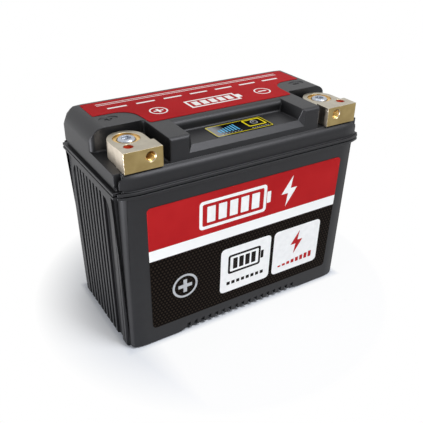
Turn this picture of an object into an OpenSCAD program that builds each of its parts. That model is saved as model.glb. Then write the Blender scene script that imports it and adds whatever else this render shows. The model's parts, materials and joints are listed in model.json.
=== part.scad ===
// Sealed lithium starter battery for a motorcycle.
// Drafted case with ribbed ends, moulded lid with two terminal pockets and a sunken charge display,
// and inside it a pack of twelve cells with its busbars and control board.
// Millimetres, origin at the bottom centre, terminals towards -Y.

/* [Overall] */
// Length over the flange
flange_l = 165; // [140:1:200]
// Depth over the flange
flange_w = 86; // [80:1:120]
// Height from the feet to the face of the top label
total_h = 130; // [120:1:170]
// Height of the joint between case and lid
joint_z = 105; // [95:1:140]

/* [Flange] */
// Radius of the long curve that leads the front and back into each corner
corner_r = 30; // [20:0.5:32]
// Height of each of the two flanges
flange_t = 1.7; // [1:0.1:3]
// Open gap that shows between the flanges
flange_gap = 0.6; // [0.2:0.1:1.5]
// Width of the upright groove at each corner
groove_w = 2; // [1:0.1:4]
// Depth of that groove behind the flange
groove_depth = 6; // [3:0.5:7]
// Half width of the end panels at the flange
panel_half = 37.5; // [30:0.5:40]
// Half width of the straight flange at each end
flange_end_half = 38.2; // [34:0.1:39]

/* [Case] */
// Step from the flange in to the front wall
wall_step = 1.7; // [0.5:0.1:4]
// Inward lean of the front wall from flange to foot
wall_lean = 2.8; // [0:0.1:4]
// Step from the flange in to the end panels
end_step = 1.5; // [0.3:0.1:3]
// Inward lean of the end panels from flange to foot
end_lean = 1.5; // [0:0.1:4]
// Narrowing of each side of the end panels from flange to foot
panel_lean = 4.9; // [0:0.1:6]
// Rounding along the bottom edge of the walls
foot_edge_r = 1.8; // [0.5:0.1:6]
// Top of the case floor
floor_z = 7; // [5:0.5:12]
// Height of the raised middle of the underside
arch_h = 2.4; // [0.5:0.1:5]
// Half length of the raised middle
arch_half = 43; // [20:0.5:55]
// Length of the slope from the raised middle down to each foot
foot_slope = 5.4; // [1:0.1:10]
// Number of grooves across the underside
slot_count = 17; // [3:2:25]
// Pitch of those grooves
slot_pitch = 5; // [3:0.5:8]
// Width of those grooves
slot_w = 1.8; // [0.8:0.1:3]
// Height of those grooves above the raised middle
slot_h = 2.2; // [1:0.1:3]
// Width of the wedge where a groove meets the wall
notch_w = 2.3; // [1:0.1:3]
// Height of that wedge above the raised middle
notch_h = 4.2; // [2:0.1:6]
// Depth of that wedge at its foot
notch_depth = 2.6; // [1:0.1:4]

/* [End ribs] */
// Ribs on each end panel
rib_count = 9; // [3:2:13]
// Pitch of the ribs
rib_pitch = 5.5; // [3:0.5:8]
// Width of a rib
rib_w = 3.5; // [1.5:0.1:6]
// Depth of the panel between the ribs
rib_depth = 3; // [0.5:0.1:3]
// Half width of the ribbed panel at its floor
recess_half = 27.2; // [20:0.1:35]
// Slope of the sides of the ribbed panel, run over its depth
recess_slope = 1.6; // [0:0.1:4]
// Narrowing of each side of the ribbed panel towards the foot
recess_lean = 2; // [0:0.1:4]
// Top of the ribbed panel
recess_top = 97; // [80:1:100]

/* [Lid] */
// Step from the flange in to the skirt
skirt_step = 1.6; // [0.5:0.1:3]
// Top of the skirt, which is the pocket floor
skirt_top = 116.5; // [112:0.5:122]
// Rounding along the front of the skirt
skirt_r = 4.8; // [1:0.2:8]
// Height of the channel over the flange at each end
channel_h = 2; // [0.5:0.1:4]
// Depth of that channel
channel_depth = 1.2; // [0.3:0.1:1.5]
// Rounding of the crown at the back and the ends
crown_r = 9; // [3:0.5:14]
// Front wall of the crown behind the pockets
crown_front = -6.4; // [-20:0.2:0]
// Front face of the bridge between the pockets
bridge_front = -38.4; // [-41:0.2:-30]
// Half length of the bridge
bridge_half = 49.5; // [40:0.1:55]
// Rounding along the top front edge of the bridge
bridge_r = 2.4; // [0.5:0.1:4]
// Fillet at the foot of the inner walls
fillet_r = 1.2; // [0.3:0.1:2]
// Wall of the lid
lid_wall = 2.3; // [1.5:0.1:4]
// Distance of the oval mark recesses from the middle
oval_x = 65.2; // [60:0.1:68]
// Place of the oval mark recesses behind the front wall of the crown
oval_y = 4.7; // [0:0.1:6]
// Half length of an oval recess
oval_half_l = 5.5; // [3:0.1:6]
// Half width of an oval recess
oval_half_w = 3.2; // [2:0.1:4]
// Depth of an oval recess
oval_depth = 0.4; // [0.1:0.1:1]

/* [Display tray] */
// Floor of the tray
tray_z = 123; // [118:0.5:127]
// Half length of the tray at the lid top
tray_half = 37.4; // [28:0.1:44]
// Half length of the tray at its floor
tray_floor_half = 35.6; // [26:0.1:43]
// Back wall of the tray
tray_back = -17.6; // [-24:0.2:-10]
// Front edge of the tray floor
tray_front = -35.6; // [-37:0.2:-30]
// Foot of the sloped lip in front of the floor
lip_z = 119.5; // [117:0.1:122]
// Rounding over the back wall of the tray
tray_r = 3.5; // [0.5:0.1:6]

/* [Labels and display] */
// Thickness of the printed labels
label_t = 0.25; // [0.1:0.05:0.6]
// Middle of the front label along the case
front_label_x = 1.1; // [-2:0.1:2]
// Half length of the front label at its top
front_label_half = 66.8; // [40:0.1:67]
// Narrowing of each end of the front label towards its foot
front_label_taper = 1.2; // [0:0.1:6]
// Lower edge of the front label
front_label_low = 12.1; // [8:0.1:40]
// Upper edge of the front label
front_label_high = 94.8; // [60:0.1:100]
// Half length of the top label
top_label_half = 71.8; // [50:0.1:72]
// Back edge of the top label
top_label_back = 31.8; // [20:0.1:32]
// Edge where the top label narrows towards the front
top_label_shoulder = 11; // [0:0.1:20]
// Front edge of the top label
top_label_front = -12.4; // [-14:0.1:-5]
// Half length of the front part of the top label
top_label_neck = 48; // [40:0.1:50]
// Length of the display overlay
overlay_l = 37.6; // [20:0.1:50]
// Width of the display overlay
overlay_w = 14.8; // [8:0.1:20]
// Thickness of the display overlay
overlay_t = 0.4; // [0.2:0.1:1]
// Middle of the overlay along the lid
overlay_x = -0.1; // [-10:0.1:10]
// Middle of the overlay across the lid
overlay_y = -27.7; // [-30:0.1:-22]
// Length of the test key
key_l = 9.6; // [5:0.1:12]
// Width of the test key
key_w = 6.8; // [5:0.1:12]
// Middle of the test key along the lid
key_x = 10.7; // [5:0.1:14]
// Middle of the test key across the lid
key_y = -26.2; // [-28:0.1:-24]
// Running gap round the test key
key_gap = 0.3; // [0.1:0.05:0.6]
// Travel of the test key
key_travel = 0.4; // [0.1:0.05:0.6]

/* [Terminals] */
// Middle of the terminal block from the middle of the lid
term_x = 65.2; // [60:0.1:68]
// Half width of the block
term_half = 10.9; // [8:0.1:12]
// Front face of the block
term_front = -40; // [-42:0.1:-34]
// Back face of the block
term_back = -29.5; // [-32:0.1:-26]
// Top of the block
term_top = 128; // [122:0.1:130]
// Radius of the round tongue behind the block
tongue_r = 10.3; // [8:0.1:12]
// Centre of that round end across the lid
tongue_y = -19; // [-26:0.1:-18]
// Drop from the top of the block to the top of the tongue
tongue_drop = 1.2; // [0.3:0.1:3]
// Tapping bore of the bolt holes
bolt_bore = 5.2; // [4:0.1:7]
// Chamfer at the mouth of the front bolt hole
hole_chamfer = 0.5; // [0.1:0.1:1]
// Height of the front bolt hole
front_hole_z = 123.4; // [119:0.1:125]
// Distance of the front bolt hole from the middle of the lid
front_hole_x = 61.1; // [58:0.1:66]
// Depth of the front bolt hole
front_hole_depth = 8.5; // [5:0.5:10]
// Distance of the top bolt hole from the middle of the lid
top_hole_x = 70; // [60:0.1:72]
// Place of the top bolt hole across the lid
top_hole_y = -32.6; // [-36:0.1:-32]
// Depth of the top bolt hole
top_hole_depth = 9; // [5:0.5:11]
// Diameter of the post through the lid
post_d = 14.4; // [8:0.1:16]
// Distance of the post from the middle of the lid
post_x = 65.2; // [60:0.1:70]
// Place of the post across the lid
post_y = -19; // [-26:0.1:-17]
// Drop from the top of the tongue to the top of the post
post_drop = 0.9; // [0.3:0.1:3]
// Diameter of the head of the post screw
head_d = 10; // [8:0.1:12]
// Height of that head
head_h = 1.9; // [1:0.1:4]

/* [Cell pack] */
// Diameter of a cell
cell_d = 26; // [18:0.1:26]
// Length of a cell
cell_l = 65; // [50:0.5:70]
// Pitch of the cells along a row
cell_pitch = 26.5; // [26.2:0.1:28]
// Bottom of the cells
cell_z = 12.7; // [9:0.1:16]
// Thickness of the busbars
busbar_t = 0.8; // [0.3:0.1:2]
// Height of a cell holder
holder_h = 9.5; // [5:0.5:15]
// Underside of the control board
board_z = 86; // [82:0.5:95]

/* [Hidden] */
$fn = 64;
// Fine steps for the long corner curves
curve_fn = 96;
half_l = flange_l / 2;
half_w = flange_w / 2;
// A length beyond every face, and the overlap of one cut or solid with the next
far = 100;
over = 1;
// Sliding clearance of fitted pieces
slip = 0.2;
// Centres of the corner curves, shared by flange, skirt and case
arc_x = half_l - 14.5;
arc_y = half_w - corner_r;
gap_low = joint_z - flange_gap / 2;
gap_high = joint_z + flange_gap / 2;
flange_z = gap_low - flange_t;
lid_flange_top = gap_high + flange_t;
lid_top = total_h - label_t;
groove_x = half_l - groove_depth;
// Case walls
wall_r_high = corner_r - wall_step;
wall_r_low = wall_r_high - wall_lean;
wall_angle = atan(wall_lean / gap_high);
end_high = half_l - end_step;
end_low = end_high - end_lean;
end_edge_r = 2;
// Distance from the face of an end panel back to the wall behind it, and the start of the panel inside it
core_back = 1.8;
panel_root = 70;
// Fine line that frames an end panel
line_in = 3;
line_w = 0.7;
line_depth = 0.6;
// How much narrower the notch through a flange is than the groove below it
notch_in = 0.3;
rib_top_r = 8;
// Cavity of the case: centres of its corners, their radius low and high
cavity_x = 62;
cavity_y = 24;
cavity_r_low = 12.4;
cavity_r_high = 14.6;
cavity_edge_r = 2;
// Lid
skirt_half_l = half_l - skirt_step;
skirt_half_w = half_w - skirt_step;
skirt_plan_r = skirt_half_w - arc_y;
crown_reach = 88;
// How far the end of the skirt stays inside the panel below it
skirt_in = 0.9;
// Ball that rounds the top of each back corner of the crown, and the block that it rounds
ball_x = 40;
ball_y = 10;
ball_z = 97.2;
ball_r = 53.4;
ball_from_x = 60;
ball_from_y = 20;
// Rounded upright edge where the back wall of a pocket meets the end of the crown
wall_end_r = 3;
bridge_corner_r = 1.5;
pocket_r = 2.5;
ceiling_z = skirt_top - lid_wall;
tray_under = tray_z - 2;
lip_taper = 1.3;
// How far the mouth of the tray opens out at the front
mouth_out = 1.3;
hollow_half_l = 78;
hollow_half_w = 38.2;
hollow_r = 12;
crown_hollow_l = 74.5;
crown_hollow_back = 36;
// Display, each level below the floor of the tray
lcd_x0 = -16;
lcd_x1 = 2;
lcd_y0 = -31.5;
lcd_y1 = -22;
lcd_under = tray_under - 3;
display_room_half = 20;
display_board_half = 19.5;
display_room_front = -35.2;
display_room_back = -18.6;
display_board_in = 0.4;
display_board_t = 1.6;
display_room_top = tray_under - 0.4;
key_r = 0.6;
key_proud = 0.1;
key_rim = 1.2;
key_rim_top = tray_under - 0.5;
key_rim_t = 0.9;
key_stem_d = 4;
key_stem_foot = tray_under - 1.8;
dome_half = 3;
dome_d = 4.6;
dome_plate_t = 0.3;
dome_top = key_stem_foot - key_travel - 0.1;
// Terminals
tongue_top = term_top - tongue_drop;
post_top = tongue_top - post_drop;
post_flange_d = 20;
post_flange_t = 2;
seal_t = 2.2;
post_foot = ceiling_z - seal_t - post_flange_t;
screw_l = 10;
head_sink = 0.9;
head_edge_r = 1.2;
socket_d = 5.6;
socket_depth = 1.2;
plug_l = 4;
plug_drop = 0.5;
plug_rim = 0.6;
// Cells
cell_columns = 4;
cell_rows = 3;
row_pitch = cell_pitch * sqrt(3) / 2;
cell_top = cell_z + cell_l;
cell_step = 0.6;
cell_cap_d = 12;
cell_base_in = 3;
bead_drop = 3;
bead_w = 1.2;
bar_top = cell_top + busbar_t;
bar_gap = 1.5;
holder_half_l = 73.6;
holder_half_w = 33.5;
holder_r = 12;
base_pad_half_l = 72;
base_pad_half_w = 34.2;
end_pad_in = 60;
end_pad_out = 73;
end_pad_half = 30;
// Control board and conductors
board_t = 1.6;
board_top = board_z + board_t;
board_half_l = 58;
board_half_w = 30;
carrier_half_l = 44;
carrier_t = 1.5;
leg_x = 40;
leg_y = 27;
leg_d = 6;
chip_pitch = 13;
chip_half = 5;
chip_y = 13;
chip_h = 2.4;
spreader_half_l = 46;
spreader_half_w = 7;
spreader_h = 5;
spreader_base = 1.6;
fin_pitch = 4.5;
fin_gap = 2;
strap_t = 1.5;
strap_out = 70;
strap_head_in = 58;
strap_foot_in = 50;
strap_back = -12;
positive_strap_front = -32;
negative_strap_front = -29;
link_in = 49;
link_out = 62;
link_half = 9;
plug_half = 12;
plug_front = 24;
plug_back = 29;
plug_h = 6;
wire_pitch = 4.4;
wire_d = 1.6;
wire_y = 31.6;
wire_tie_half = 9.6;
wire_tie_z = board_top + 3.4;
cable_plug_half = 6;
cable_plug_front = -27;
cable_plug_back = -23;
cable_plug_h = 5;
cable_half = 4.5;
cable_t = 0.6;

// Points along an arc about (cx, cy)
function arc_pts(cx, cy, r, a0, a1, n) =
    [for (i = [0:n]) let (a = a0 + (a1 - a0) * i / n) [cx + r * cos(a), cy + r * sin(a)]];

// Plan outline with straight ends at +-hx, straight sides at +-hy and curves about the shared centres
function plan(hx, hy) =
    let (r = hy - arc_y, a = acos((hx - arc_x) / r), n = 12)
    concat(
        arc_pts(arc_x, arc_y, r, a, 90, n), arc_pts(-arc_x, arc_y, r, 90, 180 - a, n),
        arc_pts(-arc_x, -arc_y, r, 180 + a, 270, n), arc_pts(arc_x, -arc_y, r, 270, 360 - a, n));

// Rectangle with rounded corners about a centre
function round_rect(cx, cy, hx, hy, r) =
    concat(
        arc_pts(cx + hx - r, cy + hy - r, r, 0, 90, 5), arc_pts(cx - hx + r, cy + hy - r, r, 90, 180, 5),
        arc_pts(cx - hx + r, cy - hy + r, r, 180, 270, 5), arc_pts(cx + hx - r, cy - hy + r, r, 270, 360, 5));

function oval(cx, cy, hx, hy) =
    let (n = 32)
    [for (i = [0:n - 1]) let (a = i * 360 / n) [cx + hx * cos(a), cy + hy * sin(a)]];

// Position of the end panel face at height z
function end_x(z) = end_low + end_lean * z / flange_z;

module slab(points, z0, z1) {
    translate([0, 0, z0])
        linear_extrude(height = z1 - z0)
            polygon(points);
}

// Profile in X and Z, drawn along Y
module prism_y(points, w) {
    rotate([90, 0, 0])
        linear_extrude(height = w, center = true)
            polygon(points);
}

// Profile in Y and Z, drawn along X
module prism_x(points, l) {
    rotate([90, 0, 90])
        linear_extrude(height = l, center = true)
            polygon(points);
}

module box(x0, x1, y0, y1, z0, z1) {
    translate([x0, y0, z0])
        cube([x1 - x0, y1 - y0, z1 - z0]);
}

module tube(d, z0, z1) {
    translate([0, 0, z0])
        cylinder(d = d, h = z1 - z0);
}

module corners() {
    for (a = [0, 1], b = [0, 1])
        mirror([a, 0, 0])
            mirror([0, b, 0])
                children();
}

module both_ends() {
    children();
    mirror([1, 0, 0])
        children();
}

module front_and_back() {
    children();
    mirror([0, 1, 0])
        children();
}

// Case

module drafted_block(cx, cy, r_low, r_high, h, edge_r) {
    side = concat([[0, 0]], arc_pts(r_low - edge_r, edge_r, edge_r, -90, 0, 5), [[r_high, h], [0, h]]);
    hull()
        for (sx = [-1, 1], sy = [-1, 1])
            translate([sx * cx, sy * cy, 0])
                rotate_extrude($fn = curve_fn)
                    polygon(side);
}

module case_core() {
    low = end_low - core_back;
    high = end_high - core_back;
    intersection() {
        drafted_block(arc_x, arc_y, wall_r_low, wall_r_high, gap_high, foot_edge_r);
        prism_y([[-low, -over], [low, -over], [high, gap_high + over], [-high, gap_high + over]], 2 * far);
    }
}

// Upright cut behind each corner between two widths, given low and high
module corner_cut(y_low, y_high, w, z0, z1, x0) {
    corners()
        translate([x0 + far / 2, 0, 0])
            prism_x([[y_low, z0], [y_low + w, z0], [y_high + w, z1], [y_high, z1]], far);
}

module flange_notch(z0, z1) {
    corner_cut(flange_end_half, flange_end_half, groove_w - notch_in, z0, z1, groove_x + over);
}

module rib_recess() {
    floor_low = end_x(-over) - rib_depth;
    floor_high = end_x(recess_top + over) - rib_depth;
    side = recess_half + recess_slope;
    difference() {
        intersection() {
            prism_y([[floor_low, -over], [far, -over], [far, recess_top + over],
                [floor_high, recess_top + over]], far);
            translate([end_high, 0, 0])
                prism_x(concat(
                    arc_pts(side - rib_top_r, recess_top - rib_top_r, rib_top_r, 0, 90, 6),
                    arc_pts(-side + rib_top_r, recess_top - rib_top_r, rib_top_r, 90, 180, 6),
                    [[-side + recess_lean, -over], [side - recess_lean, -over]]), far);
            slab([[panel_root, -recess_half], [end_low - rib_depth, -recess_half], [end_high, -side],
                [far, -side], [far, side], [end_high, side], [end_low - rib_depth, recess_half],
                [panel_root, recess_half]], -2 * over, recess_top + 2 * over);
        }
        for (i = [-(rib_count - 1) / 2 : (rib_count - 1) / 2])
            box(panel_root, far + over, i * rib_pitch - rib_w / 2, i * rib_pitch + rib_w / 2,
                -3 * over, recess_top + 3 * over);
    }
}

// Fine line inside each side of an end panel
module panel_line() {
    y_low = panel_half - panel_lean - line_in;
    y_high = panel_half - line_in;
    intersection() {
        front_and_back()
            translate([end_high, 0, 0])
                prism_x([[y_low, -over], [y_low + line_w, -over], [y_high + line_w, flange_z],
                    [y_high, flange_z]], far);
        prism_y([[end_x(-over) - line_depth, -over], [far, -over], [far, flange_z],
            [end_x(flange_z) - line_depth, flange_z]], far);
    }
}

module end_panel() {
    low = panel_half - panel_lean;
    difference() {
        intersection() {
            prism_y(concat([[panel_root, 0]],
                arc_pts(end_low - end_edge_r, end_edge_r, end_edge_r, -90, 0, 6),
                [[end_high, flange_z], [end_high, gap_low], [panel_root, gap_low]]), far);
            translate([half_l, 0, 0])
                prism_x([[-low, -over], [low, -over], [panel_half, flange_z], [panel_half, gap_low],
                    [-panel_half, gap_low], [-panel_half, flange_z]], far);
        }
        rib_recess();
        panel_line();
    }
}

// Raised middle of the underside, the grooves across it and a wedge where each groove meets a wall
module underside_cuts() {
    reach = arch_half + foot_slope;
    wall_y = arc_y + wall_r_low + wall_lean * (arch_h + notch_h) / gap_high;
    notch_y = arc_y + wall_r_low - notch_depth;
    prism_y([[-reach, -over], [reach, -over], [reach, 0], [arch_half, arch_h], [-arch_half, arch_h],
        [-reach, 0]], far);
    for (i = [-(slot_count - 1) / 2 : (slot_count - 1) / 2])
        translate([i * slot_pitch, 0, 0]) {
            box(-slot_w / 2, slot_w / 2, -far, far, -over, arch_h + slot_h);
            front_and_back()
                prism_x([[-far, -over], [-notch_y, -over], [-notch_y, arch_h],
                    [-wall_y, arch_h + notch_h], [-far, arch_h + notch_h]], notch_w);
        }
}

module case() {
    color([0.16, 0.16, 0.17])
        difference() {
            union() {
                difference() {
                    union() {
                        case_core();
                        slab(plan(half_l, half_w), flange_z, gap_low);
                    }
                    corner_cut(panel_half - panel_lean, panel_half, groove_w, -over, flange_z, groove_x);
                    flange_notch(flange_z - over, gap_high + over);
                }
                both_ends()
                    end_panel();
            }
            translate([0, 0, floor_z])
                drafted_block(cavity_x, cavity_y, cavity_r_low, cavity_r_high, total_h, cavity_edge_r);
            underside_cuts();
        }
}

// Lid

// Low part of the lid with its rounded front edge
module skirt_block() {
    side = concat([[0, gap_high], [skirt_plan_r, gap_high]],
        arc_pts(skirt_plan_r - skirt_r, skirt_top - skirt_r, skirt_r, 0, 90, 8), [[0, skirt_top]]);
    hull()
        for (sx = [-1, 1], sy = [-1, 1])
            translate([sx * arc_x, sy * arc_y, 0])
                rotate_extrude($fn = curve_fn)
                    polygon(side);
}

// What lies outside the ball at the top of a back corner
module corner_waste() {
    difference() {
        box(ball_from_x, far, ball_from_y, far, skirt_top, far + total_h);
        translate([ball_x, ball_y, ball_z])
            sphere(r = ball_r, $fn = curve_fn);
    }
}

// High part of the lid, rounded along the back and square to the front
module crown_block() {
    side = concat([[0, gap_high], [skirt_plan_r, gap_high]],
        arc_pts(skirt_plan_r - crown_r, lid_top - crown_r, crown_r, 0, 90, 10), [[0, lid_top]]);
    hull() {
        for (sx = [-1, 1])
            translate([sx * arc_x, arc_y, 0])
                rotate_extrude($fn = curve_fn)
                    polygon(side);
        box(-crown_reach, crown_reach, -half_w - over, 0, gap_high, lid_top);
    }
}

module pocket_cut() {
    slab(concat([[bridge_half - bridge_corner_r, -far]],
        arc_pts(bridge_half - bridge_corner_r, bridge_front + bridge_corner_r, bridge_corner_r, -90, 0, 5),
        arc_pts(bridge_half + pocket_r, crown_front - pocket_r, pocket_r, 180, 90, 6),
        arc_pts(skirt_half_l - wall_end_r, crown_front + wall_end_r, wall_end_r, -90, 0, 6),
        [[far, crown_front + wall_end_r], [far, -far]]), skirt_top, far + total_h);
}

// Concave fillets at the foot of the back wall and of the bridge side of a pocket
module pocket_fillets() {
    sunk = skirt_top - over;
    wall_end = skirt_half_l - wall_end_r;
    translate([(bridge_half + wall_end) / 2, 0, 0])
        prism_x(concat(arc_pts(crown_front - fillet_r, skirt_top + fillet_r, fillet_r, 0, -90, 5),
            [[crown_front - fillet_r, sunk], [crown_front + over, sunk],
                [crown_front + over, skirt_top + fillet_r]]), wall_end - bridge_half);
    translate([0, (bridge_front + crown_front) / 2, 0])
        prism_y(concat(arc_pts(bridge_half + fillet_r, skirt_top + fillet_r, fillet_r, 180, 270, 5),
            [[bridge_half + fillet_r, sunk], [bridge_half - over, sunk],
                [bridge_half - over, skirt_top + fillet_r]]),
            crown_front - bridge_front - 2 * bridge_corner_r);
}

module lid_outer() {
    intersection() {
        union() {
            skirt_block();
            difference() {
                intersection() {
                    crown_block();
                    prism_x(concat([[bridge_front, gap_high + over]],
                        arc_pts(bridge_front + bridge_r, lid_top - bridge_r, bridge_r, 180, 90, 6),
                        [[far, lid_top], [far, gap_high + over]]), 2 * far);
                }
                both_ends() {
                    pocket_cut();
                    corner_waste();
                }
            }
            both_ends()
                pocket_fillets();
        }
        prism_y(concat([[skirt_half_l, gap_high]],
            arc_pts(skirt_half_l - crown_r, lid_top - crown_r, crown_r, 0, 90, 12),
            arc_pts(-skirt_half_l + crown_r, lid_top - crown_r, crown_r, 90, 180, 12),
            [[-skirt_half_l, gap_high]]), 2 * far);
    }
}

module tray_cut() {
    high = total_h + over;
    low = lip_z - over;
    mouth = tray_half + mouth_out;
    root = tray_floor_half - pocket_r;
    intersection() {
        prism_x(concat([[tray_back + tray_r, far + total_h], [tray_back + tray_r, lid_top]],
            arc_pts(tray_back + tray_r, lid_top - tray_r, tray_r, 90, 180, 7),
            arc_pts(tray_back - fillet_r, tray_z + fillet_r, fillet_r, 0, -90, 5),
            [[tray_front, tray_z], [bridge_front, lip_z], [-far, lip_z], [-far, far + total_h]]), far);
        union() {
            prism_y([[-tray_floor_half, tray_z], [-tray_floor_half + lip_taper, low],
                [tray_floor_half - lip_taper, low], [tray_floor_half, tray_z],
                [tray_half, lid_top], [tray_half, high], [-tray_half, high], [-tray_half, lid_top]], 2 * far);
            both_ends()
                slab([[root, tray_front], [tray_floor_half, tray_front], [mouth, bridge_front],
                    [mouth, bridge_front - over], [root, bridge_front - over]], low, high);
        }
    }
}

module lid_hollow() {
    slab(round_rect(0, 0, hollow_half_l, hollow_half_w, hollow_r), gap_high - over, ceiling_z);
    box(-crown_hollow_l, crown_hollow_l, crown_front + lid_wall, crown_hollow_back,
        ceiling_z - over, lid_top - lid_wall);
    box(-bridge_half + lid_wall, bridge_half - lid_wall,
        bridge_front + lid_wall, crown_front + lid_wall + over,
        ceiling_z - over, key_rim_top - key_rim_t);
}

// Room for the display under the tray, its window and the hole for the key
module display_room() {
    box(-display_room_half, display_room_half, display_room_front, display_room_back,
        ceiling_z, display_room_top);
    box(lcd_x0 - slip, lcd_x1 + slip, lcd_y0 - slip, lcd_y1 + slip, ceiling_z, tray_z + over);
    slab(key_outline(key_gap), ceiling_z, total_h);
}

module lid() {
    skirt_panel = panel_half - skirt_in;
    color([0.16, 0.16, 0.17])
        difference() {
            union() {
                lid_outer();
                slab(plan(half_l, half_w), gap_high, lid_flange_top);
            }
            corner_cut(skirt_panel, skirt_panel, groove_w + slip,
                lid_flange_top, skirt_top + 2 * over, groove_x);
            flange_notch(gap_high - over, lid_flange_top + over);
            both_ends()
                box(skirt_half_l - channel_depth, far, -skirt_panel, skirt_panel,
                    lid_flange_top, lid_flange_top + channel_h);
            both_ends()
                slab(oval(oval_x, oval_y, oval_half_l, oval_half_w), lid_top - oval_depth, total_h);
            tray_cut();
            lid_hollow();
            display_room();
            for (s = [-1, 1])
                translate([s * post_x, post_y, 0])
                    tube(post_d + 2 * slip, ceiling_z - over, skirt_top + over);
        }
}

// Labels

module front_label() {
    h = front_label_high - front_label_low;
    low = front_label_half - front_label_taper;
    r = 2.5;
    color([0.7, 0.16, 0.16])
        translate([front_label_x, -arc_y - wall_r_low, 0])
            rotate([90 + wall_angle, 0, 0])
                translate([0, front_label_low, 0])
                    linear_extrude(height = label_t)
                        polygon(concat(
                            arc_pts(low - r, r, r, -90, 0, 5),
                            arc_pts(front_label_half - r, h - r, r, 0, 90, 5),
                            arc_pts(-front_label_half + r, h - r, r, 90, 180, 5),
                            arc_pts(-low + r, r, r, 180, 270, 5)));
}

module top_label() {
    sweep_r = 11.5;
    neck_r = 1.6;
    edge_r = 1;
    half = concat(
        arc_pts(top_label_neck - neck_r, top_label_front + neck_r, neck_r, -90, 0, 4),
        arc_pts(top_label_neck + edge_r + sweep_r, top_label_shoulder - sweep_r, sweep_r, 175, 90, 9),
        arc_pts(top_label_half - edge_r, top_label_shoulder + edge_r, edge_r, -90, 0, 4),
        arc_pts(top_label_half - edge_r, top_label_back - edge_r, edge_r, 0, 90, 4));
    n = len(half) - 1;
    color([0.78, 0.12, 0.14])
        slab(concat(half, [for (i = [n:-1:0]) [-half[i][0], half[i][1]]]), lid_top, total_h);
}

// Terminals: side s is -1 for the positive one and 1 for the negative one

module terminal_block(s) {
    block_in = term_x - term_half;
    block_out = term_x + term_half;
    tongue_front = term_back - over;
    mirror([s < 0 ? 1 : 0, 0, 0])
        difference() {
            union() {
                box(block_in, block_out, term_front, term_back, skirt_top, term_top);
                slab(concat([[term_x - tongue_r, tongue_front], [term_x + tongue_r, tongue_front]],
                    arc_pts(term_x, tongue_y, tongue_r, 0, 180, 28)), skirt_top, tongue_top);
            }
            translate([post_x, post_y, 0])
                tube(post_d + slip, skirt_top - over, tongue_top + over);
            front_hole();
            translate([top_hole_x, top_hole_y, 0])
                tube(bolt_bore, term_top - top_hole_depth, term_top + over);
        }
}

module front_hole() {
    translate([front_hole_x, term_front, front_hole_z])
        rotate([-90, 0, 0]) {
            translate([0, 0, -over])
                cylinder(d = bolt_bore, h = front_hole_depth + over);
            cylinder(d1 = bolt_bore + 2 * hole_chamfer, d2 = bolt_bore, h = hole_chamfer);
        }
}

module terminal_post(s) {
    translate([s * post_x, post_y, 0])
        difference() {
            union() {
                tube(post_d, post_foot, post_top);
                tube(post_flange_d, post_foot, post_foot + post_flange_t);
            }
            tube(bolt_bore, post_top - screw_l - 2 * over, post_top + over);
            tube(head_d + 2 * slip, post_top - head_sink, post_top + over);
        }
}

module post_screw(s) {
    seat = post_top - head_sink;
    translate([s * post_x, post_y, 0])
        difference() {
            union() {
                translate([0, 0, seat])
                    rotate_extrude()
                        polygon(concat([[0, 0]], [[head_d / 2, 0]],
                            arc_pts(head_d / 2 - head_edge_r, head_h - head_edge_r, head_edge_r, 0, 80, 5),
                            [[0, head_h]]));
                tube(bolt_bore - slip, seat - screw_l, seat + head_h / 4);
            }
            translate([0, 0, seat + head_h - socket_depth])
                cylinder(d = socket_d, h = head_h, $fn = 6);
        }
}

// Plug with a shallow dish in its top
module hole_plug(s) {
    r = (bolt_bore - slip) / 2;
    translate([s * top_hole_x, top_hole_y, term_top - plug_l])
        rotate_extrude()
            polygon([[0, 0], [r, 0], [r, plug_l - plug_drop], [r - plug_rim, plug_l - plug_drop],
                [r - 2 * plug_rim, plug_l - plug_drop - plug_rim], [0, plug_l - plug_drop - plug_rim]]);
}

module post_seal(s) {
    translate([s * post_x, post_y, 0])
        difference() {
            tube(post_flange_d, ceiling_z - seal_t, ceiling_z);
            tube(post_d + slip, ceiling_z - seal_t - over, ceiling_z + over);
        }
}

module positive_terminal() {
    color([0.75, 0.66, 0.45])
        terminal_block(-1);
}

module negative_terminal() {
    color([0.75, 0.66, 0.45])
        terminal_block(1);
}

module positive_post() {
    color([0.78, 0.62, 0.3])
        terminal_post(-1);
}

module negative_post() {
    color([0.78, 0.62, 0.3])
        terminal_post(1);
}

module positive_screw() {
    color([0.8, 0.8, 0.82])
        post_screw(-1);
}

module negative_screw() {
    color([0.8, 0.8, 0.82])
        post_screw(1);
}

module positive_plug() {
    color([0.78, 0.2, 0.08])
        hole_plug(-1);
}

module negative_plug() {
    color([0.78, 0.2, 0.08])
        hole_plug(1);
}

module positive_seal() {
    color([0.08, 0.08, 0.08])
        post_seal(-1);
}

module negative_seal() {
    color([0.08, 0.08, 0.08])
        post_seal(1);
}

// Display

// Outline of the test key, grown by a margin
function key_outline(grow) = round_rect(key_x, key_y, key_l / 2 + grow, key_w / 2 + grow, key_r + grow);

module display_overlay() {
    edge_r = 1;
    color([0.3, 0.3, 0.32])
        difference() {
            slab(round_rect(overlay_x, overlay_y, overlay_l / 2, overlay_w / 2, edge_r),
                tray_z, tray_z + overlay_t);
            slab(key_outline(key_gap), tray_z - over, tray_z + 2 * over);
        }
}

module test_button() {
    color([0.25, 0.25, 0.27])
        union() {
            slab(key_outline(0), key_rim_top - key_proud, tray_z + overlay_t + key_proud);
            slab(key_outline(key_rim), key_rim_top - key_rim_t, key_rim_top);
            translate([key_x, key_y, 0])
                tube(key_stem_d, key_stem_foot, key_rim_top - key_rim_t / 2);
        }
}

module lcd_module() {
    color([0.35, 0.5, 0.55])
        box(lcd_x0, lcd_x1, lcd_y0, lcd_y1, lcd_under, tray_z);
}

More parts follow.
